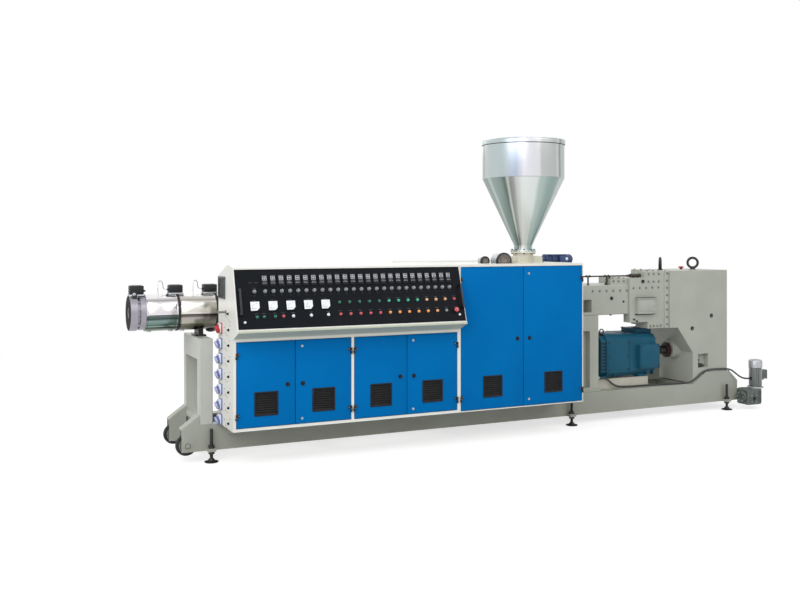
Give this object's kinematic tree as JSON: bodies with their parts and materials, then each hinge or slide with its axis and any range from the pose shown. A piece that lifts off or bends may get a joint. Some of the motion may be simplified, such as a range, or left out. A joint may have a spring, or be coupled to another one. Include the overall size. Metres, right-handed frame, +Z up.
{
  "type": "plastic extruder",
  "caption": "Plastic extruder with cabinet doors, sloping control console, heated barrel, conical hopper, gearboxes and drive motor on a steel base.",
  "frame": {"origin": "on the floor, under the middle of the machine's box", "axes": "+X from the die end to the gearmotor end, +Y away from the operator's doors, +Z up"},
  "size_m": [6.45, 1.495, 2.7],
  "materials": {
    "base_paint": "satin",
    "gearbox_paint": "satin",
    "foot_steel": "satin",
    "wheel_iron": "rough",
    "cabinet_paint": "satin",
    "door_paint": "satin",
    "panel_paint": "satin",
    "handle_metal": "satin",
    "instrument_plastic": "gloss",
    "knob_plastic": "matte",
    "vent_grey": "satin",
    "socket_plastic": "matte",
    "barrel_steel": "satin",
    "polished_steel": "polished",
    "black_paint": "satin",
    "feeder_paint": "satin",
    "feeder_motor_paint": "satin",
    "motor_paint": "satin",
    "coupling_paint": "satin",
    "pipe_steel": "satin",
    "reducer_paint": "satin",
    "bare_aluminium": "satin",
    "conduit_rubber": "matte"
  },
  "bodies": {
    "machine": {"base_rail_near": "base_paint", "base_rail_far": "base_paint", "base_cross_beams": "base_paint", "levelling_feet": "foot_steel", "front_trestle": "base_paint", "cabinet_brackets": "base_paint", "control_cabinet": "cabinet_paint", "console_housing": "cabinet_paint", "console_panel": "panel_paint", "console_handles": "handle_metal", "console_meters": "instrument_plastic", "console_switches": "knob_plastic", "side_vent": "vent_grey", "power_sockets": "socket_plastic", "barrel_cabinet": "cabinet_paint", "barrel": "barrel_steel", "barrel_covers": "polished_steel", "heater_boxes": "black_paint", "barrel_support": "barrel_steel", "hopper_shell": "polished_steel", "hopper_lid": "polished_steel", "hopper_feeder": "feeder_paint", "feeder_motor": "feeder_motor_paint", "cooling_blowers": "black_paint", "connecting_housing": "gearbox_paint", "support_column": "gearbox_paint", "distribution_gearbox": "gearbox_paint", "inspection_cover": "gearbox_paint", "reduction_gearbox": "gearbox_paint", "lifting_eyes": "foot_steel", "motor_rails": "base_paint", "main_motor": "motor_paint", "drive_coupling": "coupling_paint", "oil_pipe": "pipe_steel", "gearmotor_reducer": "reducer_paint", "gearmotor_motor": "bare_aluminium", "cable_conduit": "conduit_rubber"},
    "control_door_1": {"control_door_1": "door_paint"},
    "control_door_2": {"control_door_2": "door_paint"},
    "control_door_3": {"control_door_3": "door_paint"},
    "control_door_4": {"control_door_4": "door_paint"},
    "barrel_door_1": {"barrel_door_1": "door_paint"},
    "barrel_door_2": {"barrel_door_2": "door_paint"},
    "transport_wheel_near": {"transport_wheel_near": "wheel_iron"},
    "transport_wheel_far": {"transport_wheel_far": "wheel_iron"}
  },
  "joints": [
    {"name": "control_door_1_hinge", "type": "hinge", "parent": "machine", "child": "control_door_1", "pos_m": [-2.5355, -0.6195, 0.29], "axis": [0, 0, -1], "range_deg": [0, 90]},
    {"name": "control_door_2_hinge", "type": "hinge", "parent": "machine", "child": "control_door_2", "pos_m": [-1.596, -0.6195, 0.29], "axis": [0, 0, 1], "range_deg": [0, 90]},
    {"name": "control_door_3_hinge", "type": "hinge", "parent": "machine", "child": "control_door_3", "pos_m": [-1.569, -0.6195, 0.29], "axis": [0, 0, -1], "range_deg": [0, 90]},
    {"name": "control_door_4_hinge", "type": "hinge", "parent": "machine", "child": "control_door_4", "pos_m": [-0.6295, -0.6195, 0.29], "axis": [0, 0, 1], "range_deg": [0, 90]},
    {"name": "barrel_door_1_hinge", "type": "hinge", "parent": "machine", "child": "barrel_door_1", "pos_m": [-0.5945, -0.6195, 0.29], "axis": [0, 0, -1], "range_deg": [0, 90]},
    {"name": "barrel_door_2_hinge", "type": "hinge", "parent": "machine", "child": "barrel_door_2", "pos_m": [0.6545, -0.6195, 0.29], "axis": [0, 0, 1], "range_deg": [0, 90]},
    {"name": "transport_wheel_near_axle", "type": "hinge", "parent": "machine", "child": "transport_wheel_near", "pos_m": [-2.819, -0.1725, 0.136], "axis": [0, 1, 0], "continuous": true},
    {"name": "transport_wheel_far_axle", "type": "hinge", "parent": "machine", "child": "transport_wheel_far", "pos_m": [-2.819, 0.3075, 0.136], "axis": [0, 1, 0], "continuous": true}
  ]
}
